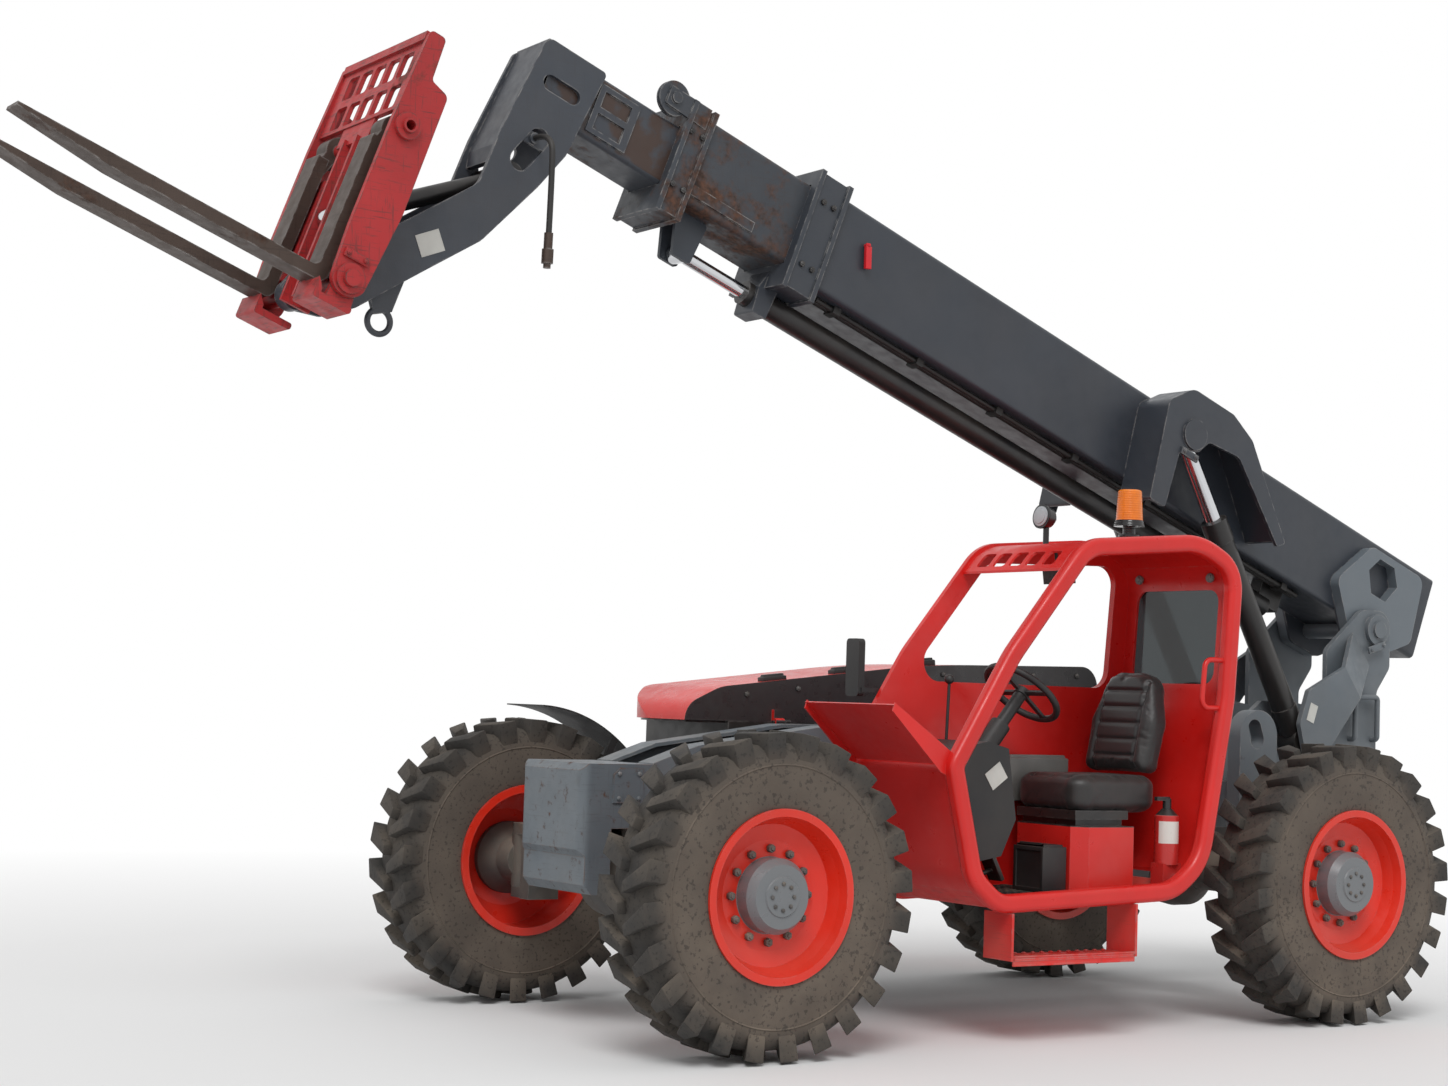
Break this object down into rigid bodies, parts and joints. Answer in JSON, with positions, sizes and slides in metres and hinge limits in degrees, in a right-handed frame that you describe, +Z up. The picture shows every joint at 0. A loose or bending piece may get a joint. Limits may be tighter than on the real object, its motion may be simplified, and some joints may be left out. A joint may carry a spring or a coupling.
{
  "type": "telehandler",
  "caption": "Telescopic handler with a raised boom, gooseneck fork carriage, side cab, engine hood and steered wheels that lifts loads high and far forward.",
  "frame": {"origin": "on the ground, under the middle of the machine's length and width", "axes": "+X forward along the machine, +Y to the operator's left, +Z up"},
  "size_m": [8.0346, 2.414, 4.2606],
  "materials": {
    "amber": "gloss",
    "black_paint": "satin",
    "black_plastic": "matte",
    "boom_paint": "satin, worn",
    "cast": "rough",
    "chrome_rod": "polished",
    "dark_steel": "worn",
    "glass": "tinted",
    "grey_paint": "worn",
    "hose_rubber": "matte",
    "lamp_plastic": "matte",
    "red_paint": "satin",
    "rim_paint": "dusty",
    "tyre": "dusty",
    "vinyl": "satin"
  },
  "bodies": {
    "chassis": {"beacon": "amber", "boarding_step": "red_paint", "boom_tower": "grey_paint", "cab_floor": "black_paint", "cab_front_panel": "red_paint", "cab_left_frame": "red_paint", "cab_rear_wall": "red_paint", "cab_right_wall": "red_paint", "cab_roof": "red_paint", "counterweight": "cast", "dash_console": "black_plastic", "engine_block": "cast", "engine_pod": "black_paint", "fire_extinguisher": "red_paint", "frame_nose": "grey_paint", "front_axle": "cast", "front_guard": "red_paint", "main_frame": "grey_paint", "mirror_head": "black_plastic", "rear_axle": "cast", "rear_glass": "glass", "seat_back": "vinyl", "seat_base": "red_paint", "seat_cushion": "vinyl", "steering_wheel": "black_plastic", "work_lamp": "lamp_plastic"},
    "hood": {"hood": "red_paint"},
    "boom_base": {"boom_base": "boom_paint", "ext_barrel": "black_paint", "boom_lines": "hose_rubber"},
    "boom_mid": {"boom_mid": "boom_paint", "ext_rod": "chrome_rod"},
    "boom_fly": {"boom_fly": "boom_paint", "boom_head": "boom_paint", "tilt_barrel": "black_paint", "aux_hose": "hose_rubber", "aux_coupler": "dark_steel"},
    "tilt_rod": {"tilt_rod": "chrome_rod"},
    "carriage": {"carriage": "red_paint", "forks": "dark_steel"},
    "lift_barrels": {"lift_barrels": "grey_paint"},
    "lift_rods": {"lift_rods": "chrome_rod"},
    "knuckle_front_left": {"knuckle_front_left": "cast"},
    "wheel_front_left": {"tyre_front_left": "tyre", "rim_front_left": "rim_paint"},
    "knuckle_front_right": {"knuckle_front_right": "cast", "front_fender": "black_plastic"},
    "wheel_front_right": {"tyre_front_right": "tyre", "rim_front_right": "rim_paint"},
    "knuckle_rear_left": {"knuckle_rear_left": "cast"},
    "wheel_rear_left": {"tyre_rear_left": "tyre", "rim_rear_left": "rim_paint"},
    "knuckle_rear_right": {"knuckle_rear_right": "cast"},
    "wheel_rear_right": {"tyre_rear_right": "tyre", "rim_rear_right": "rim_paint"}
  },
  "joints": [
    {"name": "boom_lift", "type": "hinge", "parent": "chassis", "child": "boom_base", "pos_m": [-3.43513, 0, 1.931], "axis": [0, -1, 0], "range_deg": [-28.4, 49.4]},
    {"name": "boom_extend", "type": "slide", "parent": "boom_base", "child": "boom_mid", "axis": [0.9361, 0, 0.3518], "range_m": [-0.2, 3.2]},
    {"name": "fly_extend", "type": "slide", "parent": "boom_mid", "child": "boom_fly", "axis": [0.9361, 0, 0.3518], "range_m": [-0.2, 3.2]},
    {"name": "fork_tilt", "type": "hinge", "parent": "boom_fly", "child": "carriage", "pos_m": [2.68526, 0, 3.05636], "axis": [0, 1, 0], "range_deg": [-15, 100]},
    {"name": "tilt_rod_slide", "type": "slide", "parent": "boom_fly", "child": "tilt_rod", "axis": [0.942, 0, -0.3357], "range_m": [-0.0753, 0.502]},
    {"name": "lift_barrel_swing", "type": "hinge", "parent": "chassis", "child": "lift_barrels", "pos_m": [-2.81413, 0, 1.33], "axis": [0, -1, 0], "range_deg": [-23.9, 41.57]},
    {"name": "lift_rod_slide", "type": "slide", "parent": "lift_barrels", "child": "lift_rods", "axis": [0.497, 0, 0.8677], "range_m": [-0.3918, 0.6816]},
    {"name": "hood_open", "type": "hinge", "parent": "chassis", "child": "hood", "pos_m": [-0.61413, -0.414, 1.345], "axis": [-1, 0, 0], "range_deg": [0, 55]},
    {"name": "steer_front_left", "type": "hinge", "parent": "chassis", "child": "knuckle_front_left", "pos_m": [1.05587, 0.895, 0.665], "axis": [0, 0, 1], "range_deg": [-32, 32]},
    {"name": "spin_front_left", "type": "hinge", "parent": "knuckle_front_left", "child": "wheel_front_left", "pos_m": [1.05587, 1.03, 0.665], "axis": [0, 1, 0], "continuous": true},
    {"name": "steer_front_right", "type": "hinge", "parent": "chassis", "child": "knuckle_front_right", "pos_m": [1.05587, -0.895, 0.665], "axis": [0, 0, 1], "range_deg": [-32, 32]},
    {"name": "spin_front_right", "type": "hinge", "parent": "knuckle_front_right", "child": "wheel_front_right", "pos_m": [1.05587, -1.03, 0.665], "axis": [0, 1, 0], "continuous": true},
    {"name": "steer_rear_left", "type": "hinge", "parent": "chassis", "child": "knuckle_rear_left", "pos_m": [-2.28413, 0.895, 0.665], "axis": [0, 0, 1], "range_deg": [-32, 32]},
    {"name": "spin_rear_left", "type": "hinge", "parent": "knuckle_rear_left", "child": "wheel_rear_left", "pos_m": [-2.28413, 1.03, 0.665], "axis": [0, 1, 0], "continuous": true},
    {"name": "steer_rear_right", "type": "hinge", "parent": "chassis", "child": "knuckle_rear_right", "pos_m": [-2.28413, -0.895, 0.665], "axis": [0, 0, 1], "range_deg": [-32, 32]},
    {"name": "spin_rear_right", "type": "hinge", "parent": "knuckle_rear_right", "child": "wheel_rear_right", "pos_m": [-2.28413, -1.03, 0.665], "axis": [0, 1, 0], "continuous": true}
  ],
  "couplings": [
    {"joint": "fly_extend", "follows": "boom_extend", "ratio": 1},
    {"joint": "lift_barrel_swing", "follows": "boom_lift", "ratio": 0.825},
    {"joint": "lift_rod_slide", "follows": "boom_lift", "m_per_rad": 0.775},
    {"joint": "tilt_rod_slide", "follows": "fork_tilt", "m_per_rad": 0.282},
    {"joint": "steer_front_right", "follows": "steer_front_left", "ratio": 1},
    {"joint": "steer_rear_right", "follows": "steer_rear_left", "ratio": 1}
  ]
}
